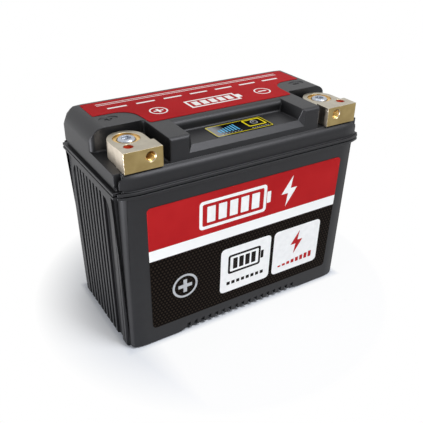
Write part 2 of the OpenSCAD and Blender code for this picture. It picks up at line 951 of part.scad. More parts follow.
module indicator_board() {
    color([0.1, 0.35, 0.18])
        box(-display_board_half, display_board_half, display_room_front + display_board_in,
            display_room_back - display_board_in, lcd_under - display_board_t, lcd_under);
}

module button_dome() {
    color([0.75, 0.75, 0.77])
        union() {
            box(key_x - dome_half, key_x + dome_half, key_y - dome_half, key_y + dome_half,
                lcd_under, lcd_under + dome_plate_t);
            translate([key_x, key_y, 0])
                tube(dome_d, lcd_under + dome_plate_t / 2, dome_top);
        }
}

// Cells and their holders

// Centre of the cell in column i of row j
function cell_at(i, j) = [(i - 1.5) * cell_pitch + (j == 1 ? 1 : -1) * cell_pitch / 4, (j - 1) * row_pitch];

module one_cell(i, j, up) {
    p = cell_at(i, j);
    base_d = cell_d - cell_base_in;
    color([0.2, 0.35, 0.5])
        translate([p[0], p[1], 0])
            difference() {
                union() {
                    tube(cell_d, cell_z + cell_step, cell_top - cell_step);
                    tube(up ? base_d : cell_cap_d, cell_z, cell_z + over);
                    tube(up ? cell_cap_d : base_d, cell_top - over, cell_top);
                }
                difference() {
                    tube(cell_d + over, cell_top - bead_drop - bead_w, cell_top - bead_drop);
                    tube(cell_d - over, cell_top - bead_drop - 2 * bead_w, cell_top - bead_drop + bead_w);
                }
            }
}

module cell_1() { one_cell(0, 0, true); }
module cell_2() { one_cell(0, 1, true); }
module cell_3() { one_cell(0, 2, true); }
module cell_4() { one_cell(1, 0, false); }
module cell_5() { one_cell(1, 1, false); }
module cell_6() { one_cell(1, 2, false); }
module cell_7() { one_cell(2, 0, true); }
module cell_8() { one_cell(2, 1, true); }
module cell_9() { one_cell(2, 2, true); }
module cell_10() { one_cell(3, 0, false); }
module cell_11() { one_cell(3, 1, false); }
module cell_12() { one_cell(3, 2, false); }

module cell_holder(z0) {
    difference() {
        slab(round_rect(0, 0, holder_half_l, holder_half_w, holder_r), z0, z0 + holder_h);
        for (i = [0 : cell_columns - 1], j = [0 : cell_rows - 1])
            translate([cell_at(i, j)[0], cell_at(i, j)[1], 0])
                tube(cell_d + slip, z0 - over, z0 + holder_h + over);
    }
}

module lower_cell_holder() {
    color([0.12, 0.12, 0.12])
        cell_holder(cell_z + cell_step);
}

module upper_cell_holder() {
    color([0.12, 0.12, 0.12])
        cell_holder(cell_top - holder_h - cell_step);
}

module end_pad() {
    color([0.3, 0.3, 0.3])
        box(end_pad_in, end_pad_out, -end_pad_half, end_pad_half,
            cell_z + holder_h + cell_step, cell_top - holder_h - cell_step);
}

module left_end_pad() {
    mirror([1, 0, 0])
        end_pad();
}

module right_end_pad() {
    end_pad();
}

module base_pad() {
    color([0.3, 0.3, 0.3])
        slab(round_rect(0, 0, base_pad_half_l, base_pad_half_w, holder_r), floor_z, cell_z - busbar_t);
}

// Copper plate under or over the cells of columns i0 to i1
module busbar(i0, i1, z0) {
    color([0.72, 0.42, 0.25])
        for (j = [0 : cell_rows - 1])
            box(cell_at(i0, j)[0] - cell_pitch / 2 + bar_gap, cell_at(i1, j)[0] + cell_pitch / 2 - bar_gap,
                cell_at(i0, j)[1] - row_pitch / 2, cell_at(i0, j)[1] + row_pitch / 2, z0, z0 + busbar_t);
}

module busbar_positive() { busbar(0, 0, cell_top); }
module busbar_middle() { busbar(1, 2, cell_top); }
module busbar_negative() { busbar(3, 3, cell_top); }
module busbar_low_left() { busbar(0, 1, cell_z - busbar_t); }
module busbar_low_right() { busbar(2, 3, cell_z - busbar_t); }

// Control board and conductors

module board_carrier() {
    color([0.85, 0.85, 0.8])
        union() {
            slab(round_rect(0, 0, carrier_half_l, board_half_w, 3), bar_top, bar_top + carrier_t);
            for (sx = [-1, 1], sy = [-1, 1])
                translate([sx * leg_x, sy * leg_y, 0])
                    tube(leg_d, bar_top + carrier_t / 2, board_z);
        }
}

module bms_board() {
    color([0.1, 0.35, 0.18])
        slab(round_rect(0, 0, board_half_l, board_half_w, 2), board_z, board_top);
}

module mosfets() {
    color([0.08, 0.08, 0.08])
        for (i = [-3:3])
            box(i * chip_pitch - chip_half, i * chip_pitch + chip_half,
                chip_y - chip_half, chip_y + chip_half,
                board_top, board_top + chip_h);
}

module heat_spreader() {
    foot = board_top + chip_h;
    color([0.75, 0.76, 0.78])
        difference() {
            box(-spreader_half_l, spreader_half_l, chip_y - spreader_half_w, chip_y + spreader_half_w,
                foot, foot + spreader_h);
            for (i = [-1:1])
                translate([0, chip_y + i * fin_pitch, 0])
                    box(-far, far, -fin_gap / 2, fin_gap / 2, foot + spreader_base, foot + spreader_h + over);
        }
}

// Copper strip from a foot at z0 up to the underside of the post
module riser(y0, z0) {
    color([0.72, 0.42, 0.25])
        union() {
            box(strap_foot_in, strap_out, y0, strap_back, z0, z0 + strap_t);
            box(strap_out - strap_t, strap_out, y0, strap_back, z0, post_foot);
            box(strap_head_in, strap_out, y0, strap_back, post_foot - strap_t, post_foot);
        }
}

module positive_strap() {
    mirror([1, 0, 0])
        riser(positive_strap_front, bar_top);
}

module negative_strap() {
    riser(negative_strap_front, board_top);
}

module negative_link() {
    color([0.72, 0.42, 0.25])
        union() {
            box(link_in, link_out, -link_half, link_half, bar_top, bar_top + strap_t);
            box(link_out - strap_t, link_out, -link_half, link_half, bar_top, board_top + strap_t);
            box(link_in + 2 * strap_t, link_out, -link_half, link_half, board_top, board_top + strap_t);
        }
}

module balance_harness() {
    color([0.9, 0.9, 0.88])
        union() {
            box(-plug_half, plug_half, plug_front, plug_back, board_top, board_top + plug_h);
            for (i = [-2:2])
                translate([i * wire_pitch, wire_y, 0])
                    tube(wire_d, bar_top, wire_tie_z + wire_d / 2);
            box(-wire_tie_half, wire_tie_half, plug_back - over, wire_y + wire_d / 2,
                wire_tie_z, wire_tie_z + wire_d);
        }
}

module display_cable() {
    middle = (cable_plug_front + cable_plug_back) / 2;
    socket_top = lcd_under - display_board_t;
    color([0.9, 0.9, 0.88])
        union() {
            box(-cable_plug_half, cable_plug_half, cable_plug_front, cable_plug_back,
                board_top, board_top + cable_plug_h);
            box(-cable_half, cable_half, middle - cable_t / 2, middle + cable_t / 2,
                board_top + cable_plug_h - over, socket_top - cable_plug_h / 2);
            box(-cable_plug_half, cable_plug_half, cable_plug_front, cable_plug_back,
                socket_top - cable_plug_h + over, socket_top);
        }
}

case();
lid();
front_label();
top_label();
positive_terminal();
negative_terminal();
positive_post();
negative_post();
positive_screw();
negative_screw();
positive_plug();
negative_plug();
positive_seal();
negative_seal();
display_overlay();
test_button();
lcd_module();
indicator_board();
button_dome();
cell_1();
cell_2();
cell_3();
cell_4();
cell_5();
cell_6();
cell_7();
cell_8();
cell_9();
cell_10();
cell_11();
cell_12();
lower_cell_holder();
upper_cell_holder();
left_end_pad();
right_end_pad();
base_pad();
busbar_positive();
busbar_middle();
busbar_negative();
busbar_low_left();
busbar_low_right();
board_carrier();
bms_board();
mosfets();
heat_spreader();
positive_strap();
negative_link();
negative_strap();
balance_harness();
display_cable();
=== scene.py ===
"""Look of a sealed lithium motorcycle battery: finishes, reshaped mouldings, prints, threads and studio."""
import json
import math

import bmesh
import bpy
from mathutils import Matrix, Quaternion, Vector

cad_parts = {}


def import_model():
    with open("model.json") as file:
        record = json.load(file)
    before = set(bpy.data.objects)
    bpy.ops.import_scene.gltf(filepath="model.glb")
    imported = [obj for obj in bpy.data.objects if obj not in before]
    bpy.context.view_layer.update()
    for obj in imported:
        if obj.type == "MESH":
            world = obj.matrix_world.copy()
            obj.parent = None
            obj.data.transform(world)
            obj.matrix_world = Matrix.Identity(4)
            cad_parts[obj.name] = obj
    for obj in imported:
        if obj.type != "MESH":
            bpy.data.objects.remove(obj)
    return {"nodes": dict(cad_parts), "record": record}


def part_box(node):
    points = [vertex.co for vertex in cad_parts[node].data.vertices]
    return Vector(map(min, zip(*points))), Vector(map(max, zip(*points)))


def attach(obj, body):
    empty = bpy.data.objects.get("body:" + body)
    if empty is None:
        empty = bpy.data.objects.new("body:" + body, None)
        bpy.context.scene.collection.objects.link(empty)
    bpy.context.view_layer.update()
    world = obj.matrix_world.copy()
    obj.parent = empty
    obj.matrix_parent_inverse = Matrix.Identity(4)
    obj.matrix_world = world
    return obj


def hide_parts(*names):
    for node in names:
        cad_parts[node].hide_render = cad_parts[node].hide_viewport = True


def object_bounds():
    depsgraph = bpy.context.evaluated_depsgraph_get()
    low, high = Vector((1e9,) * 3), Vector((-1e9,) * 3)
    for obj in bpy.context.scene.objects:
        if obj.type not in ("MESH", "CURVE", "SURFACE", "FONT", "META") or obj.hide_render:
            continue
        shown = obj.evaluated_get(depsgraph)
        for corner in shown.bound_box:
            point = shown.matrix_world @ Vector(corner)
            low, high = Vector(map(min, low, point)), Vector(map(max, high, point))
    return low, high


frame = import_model()
cad_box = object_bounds()
nodes = frame["nodes"]

MM = 0.001
MICRON = 0.000001
BODY = "battery"
KEY_BODY = "test_key"


def srgb(red, green, blue):
    """Linear colour from values of 0 to 255."""
    def linear(value):
        part = value / 255
        return part / 12.92 if part <= 0.04045 else ((part + 0.055) / 1.055) ** 2.4
    return (linear(red), linear(green), linear(blue), 1.0)


def centred(count, pitch):
    """Places of a row of things with its middle at 0."""
    return [(i - (count - 1) / 2) * pitch for i in range(count)]


# Node helpers

EVEN = (1, 1, 1)
# Spans of the noise that a change of tone and a surface grain use
TONE_SPAN = (0.35, 0.65)
GRAIN_SPAN = (0.3, 0.7)
# Sockets of the mix node that take and give colours
MIX_FIRST = 6
MIX_SECOND = 7
MIX_RESULT = 2


class Finish:
    """A Principled material with short calls for the nodes behind it."""

    def __init__(self, name, roughness, metallic=0.0, specular=0.5):
        self.material = bpy.data.materials.new(name)
        self.material.use_nodes = True
        self.tree = self.material.node_tree
        self.bsdf = self.tree.nodes["Principled BSDF"]
        self.bsdf.inputs["Roughness"].default_value = roughness
        self.bsdf.inputs["Metallic"].default_value = metallic
        self.bsdf.inputs["Specular IOR Level"].default_value = specular
        self.place = self.node("ShaderNodeTexCoord").outputs["Object"]

    def node(self, kind, **settings):
        made = self.tree.nodes.new(kind)
        for key, value in settings.items():
            setattr(made, key, value)
        return made

    def feed(self, socket, value):
        """Links an output to a socket, or sets a plain value on it."""
        if isinstance(value, bpy.types.NodeSocket):
            self.tree.links.new(value, socket)
        else:
            socket.default_value = value

    def calc(self, operation, *values):
        made = self.node("ShaderNodeMath", operation=operation)
        for socket, value in zip(made.inputs, values):
            self.feed(socket, value)
        return made.outputs[0]

    def axes(self):
        made = self.node("ShaderNodeSeparateXYZ")
        self.feed(made.inputs[0], self.place)
        return made.outputs

    def stretched(self, scale):
        made = self.node("ShaderNodeMapping")
        self.feed(made.inputs["Vector"], self.place)
        made.inputs["Scale"].default_value = scale
        return made.outputs[0]

    def noise(self, scale, detail=2.0, place=None):
        made = self.node("ShaderNodeTexNoise")
        self.feed(made.inputs["Vector"], place or self.place)
        made.inputs["Scale"].default_value = scale
        made.inputs["Detail"].default_value = detail
        return made.outputs["Fac"]

    def ramp(self, value, from_low, from_high, to_low=0.0, to_high=1.0):
        made = self.node("ShaderNodeMapRange")
        self.feed(made.inputs["Value"], value)
        made.inputs["From Min"].default_value = from_low
        made.inputs["From Max"].default_value = from_high
        made.inputs["To Min"].default_value = to_low
        made.inputs["To Max"].default_value = to_high
        return made.outputs[0]

    def mix(self, factor, first, second):
        made = self.node("ShaderNodeMix", data_type="RGBA")
        self.feed(made.inputs[0], factor)
        self.feed(made.inputs[MIX_FIRST], first)
        self.feed(made.inputs[MIX_SECOND], second)
        return made.outputs[MIX_RESULT]

    def cloud(self, scale, detail=3.0):
        """Slow change between 0 and 1 over the surface."""
        return self.ramp(self.noise(scale, detail), *TONE_SPAN)

    def skin(self, grain, smooth, rough, depth, stretch=EVEN):
        """Fine grain that varies the roughness between two values and dents the surface."""
        fine = self.noise(grain, place=self.stretched(stretch))
        self.feed(self.bsdf.inputs["Roughness"], self.ramp(fine, *GRAIN_SPAN, smooth, rough))
        bump = self.node("ShaderNodeBump")
        bump.inputs["Distance"].default_value = depth
        self.feed(bump.inputs["Height"], fine)
        self.feed(self.bsdf.inputs["Normal"], bump.outputs[0])

    def bar(self, across, along, centre_x, centre_y, half_x, half_y):
        """1 inside a rectangle given in millimetres, 0 outside it."""
        spans = []
        for value, centre, half in ((across, centre_x, half_x), (along, centre_y, half_y)):
            off = self.calc("ABSOLUTE", self.calc("SUBTRACT", value, centre * MM))
            spans.append(self.calc("SUBTRACT", off, half * MM))
        return self.calc("LESS_THAN", self.calc("MAXIMUM", *spans), 0.0)

    def ring(self, across, along, centre_x, centre_y, radius, half_line):
        """1 on a circular line given in millimetres, 0 off it."""
        squares = []
        for value, centre in ((across, centre_x), (along, centre_y)):
            squares.append(self.calc("POWER", self.calc("SUBTRACT", value, centre * MM), 2.0))
        reach = self.calc("SQRT", self.calc("ADD", *squares))
        off = self.calc("ABSOLUTE", self.calc("SUBTRACT", reach, radius * MM))
        return self.calc("LESS_THAN", off, half_line * MM)

    def any_of(self, masks):
        found = masks[0]
        for mask in masks[1:]:
            found = self.calc("MAXIMUM", found, mask)
        return found

    def colour(self, value):
        self.feed(self.bsdf.inputs["Base Color"], value)


GLOSS_SPREAD = 0.07


def grained(name, dark, light, roughness, metallic=0.0, specular=0.5, patch=220, grain=5200,
            depth=8 * MICRON, stretch=EVEN):
    """Finish with a slow change of colour and a fine surface grain."""
    made = Finish(name, roughness, metallic, specular)
    made.colour(made.mix(made.cloud(patch), dark, light))
    made.skin(grain, roughness - GLOSS_SPREAD, roughness + GLOSS_SPREAD, depth, stretch)
    return made


# Finishes of the CAD nodes, by material slot

finishes = {}
COOL_GLOSS = (0.92, 0.93, 1.0, 1.0)
# Scales that draw out the grain of rolled and extruded metal along x
ROLLED = (0.05, 1, 1)
EXTRUDED = (0.04, 1, 1)


def case_plastic():
    made = grained("moulded_plastic", srgb(10, 10, 11), srgb(14, 14, 15), roughness=0.45, specular=0.42,
                   grain=6500, depth=6 * MICRON)
    made.bsdf.inputs["Specular Tint"].default_value = COOL_GLOSS
    finishes["case_plastic"] = made


def metal_finishes():
    finishes["post_brass"] = grained(
        "bright_brass", srgb(216, 176, 104), srgb(232, 194, 124), roughness=0.3, metallic=1.0, patch=300,
        depth=2 * MICRON)
    finishes["screw_steel"] = grained(
        "zinc_plate", srgb(160, 165, 174), srgb(182, 187, 196), roughness=0.27, metallic=1.0, patch=500,
        depth=2 * MICRON)
    finishes["busbar_copper"] = grained(
        "rolled_copper", srgb(186, 110, 76), srgb(204, 128, 92), roughness=0.3, metallic=1.0, patch=90,
        grain=3600, depth=2 * MICRON, stretch=ROLLED)
    finishes["dome_steel"] = grained(
        "dome_sheet", srgb(188, 190, 194), srgb(206, 208, 212), roughness=0.25, metallic=1.0)
    finishes["spreader_aluminium"] = grained(
        "extruded_aluminium", srgb(176, 178, 181), srgb(194, 196, 199), roughness=0.36, metallic=1.0,
        depth=3 * MICRON, stretch=EXTRUDED)


def terminal_brass():
    """Brass with painted light by facing: a dull pale painted top, a painted highlight on the sides and
    darker yellow painted shade on the front.
    """
    made = Finish("brass_with_painted_light", roughness=0.36, metallic=1.0)
    cloud = made.cloud(scale=160)
    # Painted light: one brass in three tones, a paler painted top, a painted highlight on the sides and
    # painted shade on the front
    skin = made.mix(cloud, srgb(166, 159, 144), srgb(180, 173, 157))
    painted_side_highlight = made.mix(cloud, srgb(222, 210, 192), srgb(234, 222, 205))
    painted_front_shade = made.mix(cloud, srgb(148, 129, 86), srgb(162, 143, 98))
    # The face normal picks the tone: painted highlight where it points along x, painted shade where it
    # points to the front
    facing = made.node("ShaderNodeSeparateXYZ")
    made.feed(facing.inputs[0], made.node("ShaderNodeTexCoord").outputs["Normal"])
    side = made.ramp(made.calc("ABSOLUTE", facing.outputs["X"]), 0.6, 0.9)
    front = made.ramp(facing.outputs["Y"], -0.6, -0.9)
    made.colour(made.mix(front, made.mix(side, skin, painted_side_highlight), painted_front_shade))
    made.skin(grain=4200, smooth=0.3, rough=0.42, depth=3 * MICRON, stretch=ROLLED)
    finishes["terminal_brass"] = made


def small_finishes():
    """Plugs, seals of the posts and film of the key."""
    finishes["plug_red"] = grained(
        "plug_plastic", srgb(156, 40, 14), srgb(170, 48, 18), roughness=0.5, specular=0.08, grain=7000)
    finishes["seal_rubber"] = grained(
        "seal_rubber_look", srgb(26, 26, 27), srgb(33, 33, 34), roughness=0.72, specular=0.3)
    finishes["key_print"] = grained(
        "key_film", srgb(8, 8, 9), srgb(12, 12, 13), roughness=0.4, specular=0.01, grain=9000,
        depth=3 * MICRON)


def inner_finishes():
    """Pieces inside the case."""
    finishes["lcd_plastic"] = grained(
        "lcd_frame", srgb(96, 112, 116), srgb(110, 126, 130), roughness=0.3)
    finishes["board_green"] = grained(
        "solder_mask", srgb(16, 74, 40), srgb(22, 92, 50), roughness=0.33, patch=700)
    finishes["cell_can"] = grained(
        "cell_wrap", srgb(34, 84, 132), srgb(40, 94, 146), roughness=0.38, patch=60)
    finishes["holder_plastic"] = grained(
        "holder_black", srgb(34, 34, 35), srgb(40, 40, 41), roughness=0.5)
    finishes["pad_foam"] = grained(
        "closed_foam", srgb(70, 70, 72), srgb(88, 88, 90), roughness=0.9, specular=0.2, patch=900,
        grain=1800, depth=60 * MICRON)
    finishes["carrier_plastic"] = grained(
        "carrier_white", srgb(206, 205, 198), srgb(218, 217, 211), roughness=0.5)
    finishes["transistor_black"] = grained(
        "mould_compound", srgb(26, 26, 27), srgb(32, 32, 33), roughness=0.55)
    finishes["wire_plastic"] = grained(
        "wire_jacket", srgb(212, 210, 203), srgb(224, 222, 216), roughness=0.46)


# Printed films

WHITE = srgb(250, 250, 249)


def printed_film(name, specular):
    """Film with the gloss of both labels, and a slow change of tone for its inks."""
    made = Finish(name, roughness=0.4, specular=specular)
    made.skin(grain=3000, smooth=0.35, rough=0.45, depth=3 * MICRON)
    return made, made.cloud(scale=40, detail=2.0)


# Front print: red field, bare white band and a dark field with a fine dot lattice

RED = srgb(184, 37, 39)
RED_DEEP = srgb(175, 32, 35)
BAND_LOW = 60.6 * MM
BAND_HIGH = 67.6 * MM
DOT_PITCH = 2.3 * MM
DOT_R = 0.72 * MM


def dot_lattice(made, across, up):
    """1 inside the dots of a close-packed lattice, 0 outside them."""
    row = DOT_PITCH * math.sqrt(3)
    hits = []
    for shift in (0.0, 0.5):
        reach = []
        for value, pitch in ((across, DOT_PITCH), (up, row)):
            turns = made.calc("ADD", made.calc("DIVIDE", value, pitch), shift)
            part = made.calc("SUBTRACT", made.calc("FRACT", turns), 0.5)
            reach.append(made.calc("POWER", made.calc("MULTIPLY", part, pitch / DOT_R), 2.0))
        hits.append(made.calc("LESS_THAN", made.calc("ADD", *reach), 1.0))
    return made.calc("MAXIMUM", *hits)


def front_print():
    made, cloud = printed_film("front_film", specular=0.02)
    across, _, up = made.axes()
    dark = made.mix(dot_lattice(made, across, up), srgb(12, 9, 7), srgb(40, 33, 28))
    red = made.mix(cloud, RED_DEEP, RED)
    below = made.mix(made.calc("GREATER_THAN", up, BAND_LOW), dark, WHITE)
    made.colour(made.mix(made.calc("GREATER_THAN", up, BAND_HIGH), below, red))
    finishes["front_print"] = made


# Top print: red film with a cell symbol between two pole signs, a row of dashes and two fine lines

# Places and sizes of the marks in millimetres
SIGN_Y = 1.5
SIGN_HALF_X = 17.0
SIGN_HALF_Y = 6.0
SIGN_LINE = 1.4
SIGN_TIP_HALF = 2.6
SIGN_BARS = 5
SIGN_BAR_PITCH = 5.7
SIGN_BAR_HALF = 2.0
POLE_X = 36.0
POLE_R = 5.0
POLE_LINE_HALF = 0.45
POLE_ARM = 3.0
POLE_ARM_HALF = 0.7
DASHES = 7
DASH_PITCH = 18.0
DASH_Y = 18.5
DASH_HALF_X = 6.0
DASH_HALF_Y = 0.9
RULE_YS = (25.4, 27.6)
RULE_HALF_X = 64.0
RULE_HALF_Y = 0.35


def top_marks(made, across, along):
    """Mask of the white marks on the top film."""
    def block(x, y, half_x, half_y):
        return made.bar(across, along, x, y, half_x, half_y)

    outer = block(0, SIGN_Y, SIGN_HALF_X, SIGN_HALF_Y)
    inner = block(0, SIGN_Y, SIGN_HALF_X - SIGN_LINE, SIGN_HALF_Y - SIGN_LINE)
    masks = [made.calc("SUBTRACT", outer, inner)]
    masks.append(block(SIGN_HALF_X + SIGN_LINE, SIGN_Y, SIGN_LINE, SIGN_TIP_HALF))
    for x in centred(SIGN_BARS, SIGN_BAR_PITCH):
        masks.append(block(x, SIGN_Y, SIGN_BAR_HALF, SIGN_HALF_Y - 2 * SIGN_LINE))
    for x in (-POLE_X, POLE_X):
        masks.append(made.ring(across, along, x, SIGN_Y, POLE_R, POLE_LINE_HALF))
        masks.append(block(x, SIGN_Y, POLE_ARM, POLE_ARM_HALF))
    masks.append(block(-POLE_X, SIGN_Y, POLE_ARM_HALF, POLE_ARM))
    for x in centred(DASHES, DASH_PITCH):
        masks.append(block(x, DASH_Y, DASH_HALF_X, DASH_HALF_Y))
    for y in RULE_YS:
        masks.append(block(0, y, RULE_HALF_X, RULE_HALF_Y))
    return made.any_of(masks)


def top_print():
    made, cloud = printed_film("top_film", specular=0.015)
    across, along, _ = made.axes()
    red = made.mix(cloud, srgb(172, 20, 26), srgb(182, 25, 31))
    made.colour(made.mix(top_marks(made, across, along), red, WHITE))
    finishes["top_print"] = made


# Display film: silver at its left end and black to the right

FADE_FROM = -15.5 * MM
FADE_TO = -9 * MM


def overlay_print():
    made = Finish("display_film", roughness=0.3, specular=0.01)
    across = made.axes()[0]
    fade = made.ramp(across, FADE_FROM, FADE_TO)
    made.colour(made.mix(fade, srgb(150, 152, 156), srgb(8, 8, 10)))
    made.skin(grain=6000, smooth=0.22, rough=0.32, depth=2 * MICRON)
    finishes["overlay_print"] = made


def ink(name, light, dark):
    """Printed ink with a slight change of tone."""
    made = grained(name, dark, light, roughness=0.42, specular=0.04, patch=300, grain=4000,
                   depth=2 * MICRON)
    return made.material


case_plastic()
metal_finishes()
terminal_brass()
small_finishes()
inner_finishes()
front_print()
top_print()
overlay_print()
white_ink = ink("white_ink", WHITE, srgb(244, 244, 243))
yellow_ink = ink("yellow_ink", srgb(244, 226, 40), srgb(234, 214, 32))
cyan_ink = ink("cyan_ink", srgb(110, 196, 240), srgb(88, 178, 228))
pale_ink = ink("pale_ink", srgb(196, 198, 200), srgb(178, 180, 184))
red_ink = ink("red_ink", RED, RED_DEEP)
dark_ink = ink("dark_ink", srgb(38, 33, 30), srgb(30, 26, 24))


# Smooth shading and edge rounding

SMOOTH_ANGLE = math.radians(32)
FLAT_ANGLE = math.radians(0.4)
EDGE_SEGMENTS = 2
# Width of the rounded edges of each node in millimetres
EDGE_WIDTHS = {"case": 0.25, "lid": 0.4, "positive_terminal": 0.3, "negative_terminal": 0.3,
               "positive_screw": 0.12, "negative_screw": 0.12, "positive_post": 0.15, "negative_post": 0.15,
               "test_button": 0.12}


def geometry_tree(name):
    """Empty geometry node group, with its start and its end."""
    tree = bpy.data.node_groups.new(name, "GeometryNodeTree")
    for side in ("INPUT", "OUTPUT"):
        tree.interface.new_socket("Geometry", in_out=side, socket_type="NodeSocketGeometry")
    return tree, tree.nodes.new("NodeGroupInput"), tree.nodes.new("NodeGroupOutput")


def smooth_tree():
    """Node group that joins split corners, drops stored normals and keeps only sharp edges sharp."""
    tree, start, end = geometry_tree("smooth")
    join = tree.nodes.new("GeometryNodeMergeByDistance")
    join.inputs["Distance"].default_value = MICRON
    drop = tree.nodes.new("GeometryNodeRemoveAttribute")
    drop.inputs["Name"].default_value = "custom_normal"
    faces = tree.nodes.new("GeometryNodeSetShadeSmooth")
    faces.domain = "FACE"
    edges = tree.nodes.new("GeometryNodeSetShadeSmooth")
    edges.domain = "EDGE"
    angle = tree.nodes.new("GeometryNodeInputMeshEdgeAngle")
    low = tree.nodes.new("FunctionNodeCompare")
    low.data_type = "FLOAT"
    low.operation = "LESS_THAN"
    low.inputs[1].default_value = SMOOTH_ANGLE
    tree.links.new(angle.outputs["Unsigned Angle"], low.inputs[0])
    tree.links.new(low.outputs[0], edges.inputs["Shade Smooth"])
    chain = (start, join, drop, faces, edges, end)
    for first, second in zip(chain, chain[1:]):
        tree.links.new(first.outputs[0], second.inputs[0])
    return tree


def inside_tree():
    """Node group that keeps rounded edges inside the box of the CAD model."""
    tree, start, end = geometry_tree("inside")
    place = tree.nodes.new("GeometryNodeInputPosition").outputs[0]
    for operation, corner in zip(("MAXIMUM", "MINIMUM"), cad_box):
        limit = tree.nodes.new("ShaderNodeVectorMath")
        limit.operation = operation
        limit.inputs[1].default_value = corner
        tree.links.new(place, limit.inputs[0])
        place = limit.outputs[0]
    move = tree.nodes.new("GeometryNodeSetPosition")
    tree.links.new(start.outputs[0], move.inputs["Geometry"])
    tree.links.new(place, move.inputs["Position"])
    tree.links.new(move.outputs[0], end.inputs[0])
    return tree


SMOOTH = smooth_tree()
INSIDE = inside_tree()


def soften(obj, width):
    """Smooths an object and rounds its sharp edges with modifiers, so its own mesh stays as it is."""
    obj.modifiers.new("smooth", "NODES").node_group = SMOOTH
    if not width:
        return
    flat = obj.modifiers.new("flat", "DECIMATE")
    flat.decimate_type = "DISSOLVE"
    flat.angle_limit = FLAT_ANGLE
    edge = obj.modifiers.new("edge", "BEVEL")
    edge.width = width
    edge.segments = EDGE_SEGMENTS
    edge.limit_method = "ANGLE"
    edge.angle_limit = SMOOTH_ANGLE
    edge.offset_type = "WIDTH"
    edge.use_clamp_overlap = False
    obj.modifiers.new("inside", "NODES").node_group = INSIDE
    shade = obj.modifiers.new("shade", "WEIGHTED_NORMAL")
    shade.keep_sharp = True


for name, obj in nodes.items():
    for slot in obj.material_slots:
        slot.material = finishes[slot.material.name].material
    soften(obj, EDGE_WIDTHS.get(name, 0) * MM)


# Object and mesh helpers

def linked(name, data):
    """New object of the scene."""
    made = bpy.data.objects.new(name, data)
    bpy.context.scene.collection.objects.link(made)
    return made


def built(name, mesh, material=None):
    """Turns a mesh under construction into an object of the scene."""
    data = bpy.data.meshes.new(name)
    mesh.to_mesh(data)
    mesh.free()
    if material:
        data.materials.append(material)
    return linked(name, data)


def joined_copy(node):
    """Copy of a CAD node's mesh with its split corners joined."""
    mesh = bmesh.new()
    mesh.from_mesh(nodes[node].data)
    bmesh.ops.remove_doubles(mesh, verts=mesh.verts, dist=MICRON)
    return mesh


def loft_into(mesh, rings):
    """Adds a closed solid through a row of rings, each with the same number of points."""
    rows = [[mesh.verts.new(point) for point in ring] for ring in rings]
    count = len(rows[0])
    for first, second in zip(rows, rows[1:]):
        for i in range(count):
            j = (i + 1) % count
            mesh.faces.new((first[i], first[j], second[j], second[i]))
    mesh.faces.new(rows[0])
    mesh.faces.new(rows[-1])


def moulding(name, mesh):
    """An object of the case plastic."""
    return built(name, mesh, finishes["case_plastic"].material)


def stand_in(made, node):
    """Puts a moulding in the place of a CAD node."""
    soften(made, EDGE_WIDTHS[node] * MM)
    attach(made, BODY)
    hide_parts(node)


# Case: the CAD form with slimmer ribs nearer the back, other panel edges and corners that step back

# Sizes of the CAD case in millimetres
FLANGE_Z = 103.0
GAP_HIGH = 105.3
ARC_Y = 13.0
WALL_R_LOW = 25.5
WALL_LEAN = 2.8
END_LOW = 79.5
END_LEAN = 1.5
PANEL_LOW = 32.6
PANEL_LEAN = 4.9
GROOVE_X = 76.5
RIB_PITCH = 5.5
RIB_HALF = 1.75
RIB_LAST = 4
RECESS_SIDE = 28.9
RECESS_TOP = 97.0
RECESS_BEND = 88.0
FOOT_R = 2.0
# Sizes that the shell takes instead
SLIM_PITCH = 5.06
SLIM_HALF = 1.15
RIB_SHIFT = 2.4
RECESS_LIFT = 1.3
RECESS_LEAN = 1.5
SIDE_LOW = 33.2
SIDE_LEAN = 1.2
SLIM_GROOVE = 0.7
GROOVE_BACK = 2.5
CORNER_BACK = 2.0
CORNER_X = 72.3
CORNER_STEPS = 12
# How near a point lies to the form that it belongs to, and to the face of an end
NEAR = 0.06
END_NEAR = 1.0
# Filling block: depth behind the floor of the groove, least height over it, and gaps at its two sides
FILL_DEEP = 0.3
FILL_LEAST = 0.2
FILL_PAST = 0.5
FILL_SHORT = 1.2
# How far outside the long walls the cut starts, its heights, and a distance past the whole case
CUT_OFF = 0.05
CUT_LOW = -1.0
CUT_HIGH = FLANGE_Z + 0.3
FOOT_LEVELS = (0.05, 0.3, 0.7, 1.3, FOOT_R)
CLEAR = 95.0


def panel_face(z):
    return END_LOW + END_LEAN * z / FLANGE_Z


def panel_side(z):
    return SIDE_LOW + SIDE_LEAN * z / FLANGE_Z


def long_wall(z):
    return ARC_Y + WALL_R_LOW + WALL_LEAN * z / GAP_HIGH


def foot_inset(z):
    """How far the rounding of the foot draws a wall in at a height."""
    part = max(0.0, FOOT_R - max(0.0, z))
    return FOOT_R - math.sqrt(FOOT_R ** 2 - part ** 2)


def slim_rib(y):
    """New place of a rib's side, or None for a point that is on no rib."""
    index = round(y / RIB_PITCH)
    off = y - index * RIB_PITCH
    if abs(index) > RIB_LAST or abs(abs(off) - RIB_HALF) > NEAR:
        return None
    return RIB_SHIFT + index * SLIM_PITCH + math.copysign(SLIM_HALF, off)


def slim_line(y, z):
    """New place of a point on the fine line inside the edge of an end panel."""
    panel = PANEL_LOW + PANEL_LEAN * z / FLANGE_Z
    if y < RECESS_SIDE or y > panel - NEAR:
        return y
    return RECESS_SIDE + (y - RECESS_SIDE) * (panel_side(z) - RECESS_SIDE) / (panel - RECESS_SIDE)


